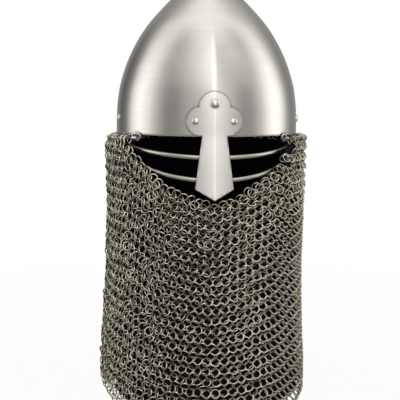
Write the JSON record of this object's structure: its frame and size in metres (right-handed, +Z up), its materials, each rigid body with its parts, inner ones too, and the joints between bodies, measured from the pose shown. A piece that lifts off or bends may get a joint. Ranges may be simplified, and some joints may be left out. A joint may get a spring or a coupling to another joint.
{
  "type": "nasal helmet with mail aventail",
  "caption": "Pointed steel helmet with a soft medial ridge, trefoil-headed nasal, round eye bars and a mail aventail hung on a wire through rolled vervelles, with an inner leather harness.",
  "frame": {"origin": "centre of the skull's rim plane, where the helmet sits round the wearer's head (mount head_seat)", "axes": "+Z up to the skull's point, -Y forwards to the nasal, +X to the wearer's left"},
  "size_m": [0.236, 0.2612, 0.5174],
  "materials": {
    "skull_steel": "satin, brushed level round the skull",
    "nasal_steel": "satin, bright ground edges",
    "rivet_steel": "satin domed heads",
    "bar_steel": "satin drawn rod and strip",
    "vervelle_steel": "bright rolled sheet",
    "wire_steel": "bright drawn wire",
    "mail_steel": "grey oiled wire rings",
    "lining_cloth": "black matt cloth",
    "harness_leather": "black dull leather",
    "small_rivet_steel": "satin",
    "chin_leather": "black dull leather",
    "buckle_steel": "satin wire"
  },
  "bodies": {
    "helmet": {"skull": "skull_steel", "nasal": "nasal_steel", "nasal_rivet_top": "rivet_steel", "nasal_rivet_left": "rivet_steel", "nasal_rivet_right": "rivet_steel", "side_rivet_left": "rivet_steel", "side_rivet_right": "rivet_steel", "liner_rivet_rear": "rivet_steel", "chin_rivet_left": "rivet_steel", "chin_rivet_right": "rivet_steel", "eye_bar_upper": "bar_steel", "eye_bar_lower": "bar_steel", "guard_strut_left": "bar_steel", "guard_strut_right": "bar_steel", "vervelle_01": "vervelle_steel", "vervelle_02": "vervelle_steel", "vervelle_03": "vervelle_steel", "vervelle_04": "vervelle_steel", "vervelle_05": "vervelle_steel", "vervelle_06": "vervelle_steel", "vervelle_07": "vervelle_steel", "vervelle_08": "vervelle_steel", "vervelle_09": "vervelle_steel", "vervelle_10": "vervelle_steel", "vervelle_11": "vervelle_steel", "vervelle_12": "vervelle_steel", "vervelle_13": "vervelle_steel", "vervelle_14": "vervelle_steel", "vervelle_15": "vervelle_steel", "vervelle_16": "vervelle_steel", "vervelle_17": "vervelle_steel", "aventail_wire": "wire_steel", "mail_aventail": "mail_steel", "aventail_lining": "lining_cloth", "headband": "harness_leather", "crown_strap_across": "harness_leather", "crown_strap_lengthwise": "harness_leather", "crown_rivet": "small_rivet_steel", "harness_rivets": "small_rivet_steel"},
    "strap_buckle": {"chin_strap_buckle_half": "chin_leather", "strap_keeper": "chin_leather"},
    "strap_tail": {"chin_strap_tail_half": "chin_leather"},
    "buckle": {"buckle_frame": "buckle_steel"},
    "prong": {"buckle_prong": "buckle_steel"}
  },
  "joints": [
    {"name": "buckle_strap_swing", "type": "hinge", "parent": "helmet", "child": "strap_buckle", "pos_m": [0.10056, 0.0242, 0.018], "axis": [0.9799, 0.1994, 0], "range_deg": [-16, 8]},
    {"name": "tail_strap_swing", "type": "hinge", "parent": "helmet", "child": "strap_tail", "pos_m": [-0.10056, 0.0242, 0.018], "axis": [0.9799, -0.1994, 0], "range_deg": [-12, 6]},
    {"name": "buckle_swing", "type": "hinge", "parent": "strap_buckle", "child": "buckle", "pos_m": [0.0916, 0.02238, -0.074], "axis": [-0.1994, 0.9799, 0], "range_deg": [-5, 90]},
    {"name": "prong_lift", "type": "hinge", "parent": "buckle", "child": "prong", "pos_m": [0.0916, 0.02238, -0.074], "axis": [-0.1994, 0.9799, 0], "range_deg": [0, 55]}
  ]
}
